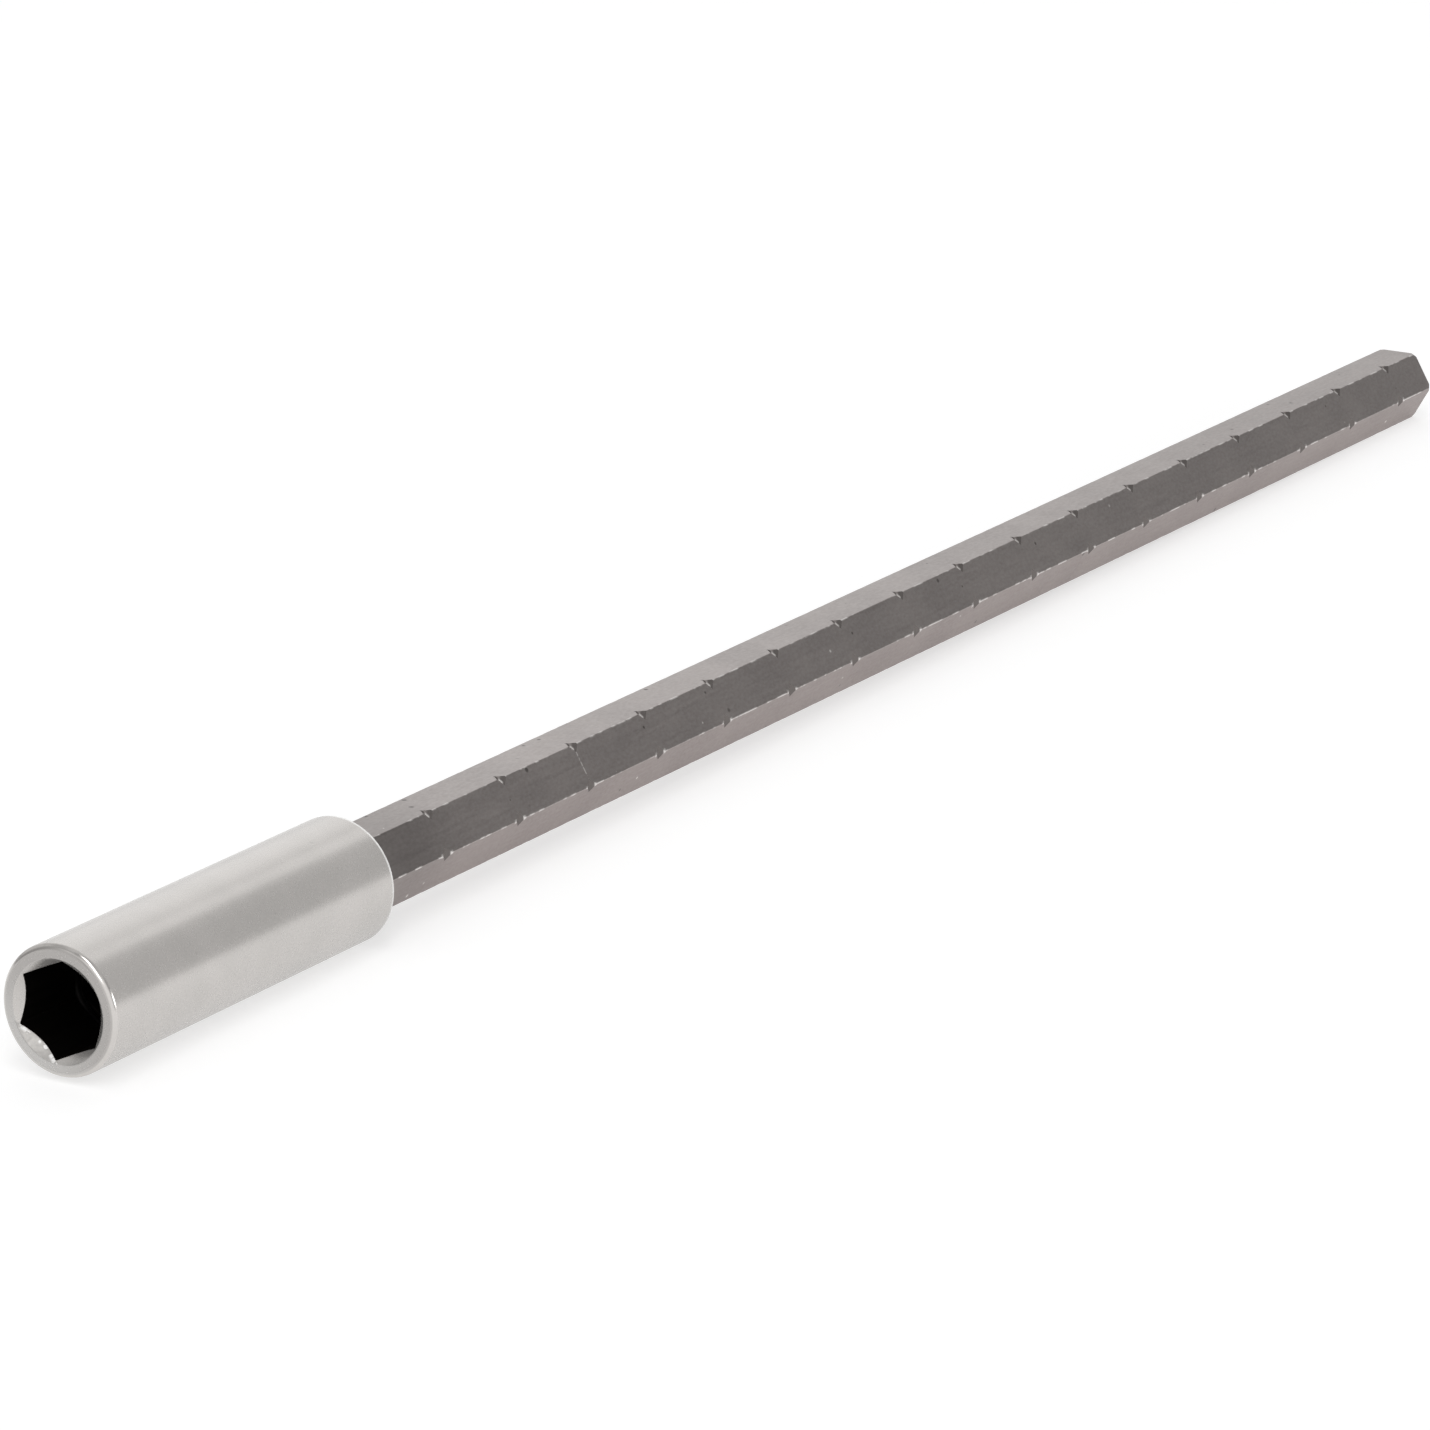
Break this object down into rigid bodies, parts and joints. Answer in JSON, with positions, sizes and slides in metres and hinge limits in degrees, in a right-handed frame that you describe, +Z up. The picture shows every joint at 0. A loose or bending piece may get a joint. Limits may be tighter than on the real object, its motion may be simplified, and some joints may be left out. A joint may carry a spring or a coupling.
{
  "type": "bit holder",
  "caption": "Long hexagon shank with locking nicks along its corners and a round magnetic sleeve that holds quarter inch hexagon screwdriver bits.",
  "frame": {"origin": "centre of the bit seat, the magnet's front face at the bottom of the socket, on the tool's axis", "axes": "+X along the tool's axis from the mouth to the shank's tail, +Z up as the tool lies with a flat of the shank on top"},
  "size_m": [0.21, 0.0098, 0.0098],
  "materials": {
    "sleeve_plating": "satin nickel plate over turned steel",
    "shank_steel": "grey drawn tool steel, bright along worn edges",
    "magnet_plating": "bright plate over a sintered magnet",
    "ring_wire": "plain spring wire"
  },
  "bodies": {
    "holder": {"socket_sleeve": "sleeve_plating", "hex_shank": "shank_steel", "magnet": "magnet_plating"},
    "ring": {"retaining_ring": "ring_wire"}
  },
  "joints": [
    {"name": "ring_turn", "type": "hinge", "parent": "holder", "child": "ring", "pos_m": [-0.006, 0, 0], "axis": [1, 0, 0], "continuous": true}
  ]
}
